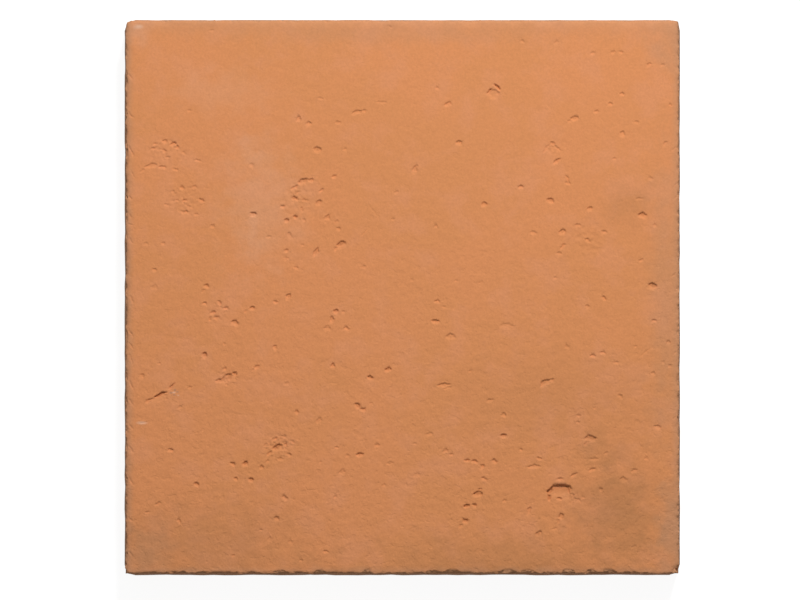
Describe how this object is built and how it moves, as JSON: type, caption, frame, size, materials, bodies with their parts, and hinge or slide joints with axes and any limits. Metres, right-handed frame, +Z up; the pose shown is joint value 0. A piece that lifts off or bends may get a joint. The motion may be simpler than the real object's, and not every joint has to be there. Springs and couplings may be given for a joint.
{
  "type": "paving slab",
  "caption": "Square wet-cast concrete paving slab with a worn terracotta-look face, air voids and a chipped arris.",
  "frame": {"origin": "centre of the bed face, which lies on the ground", "axes": "+Z up through the walking face; +X to the right and +Y to the back, along the slab's sides, with the most chipped side at the front"},
  "size_m": [0.4, 0.4, 0.038],
  "materials": {
    "terracotta_concrete": "matte"
  },
  "bodies": {
    "root": {"slab": "terracotta_concrete"}
  },
  "joints": []
}
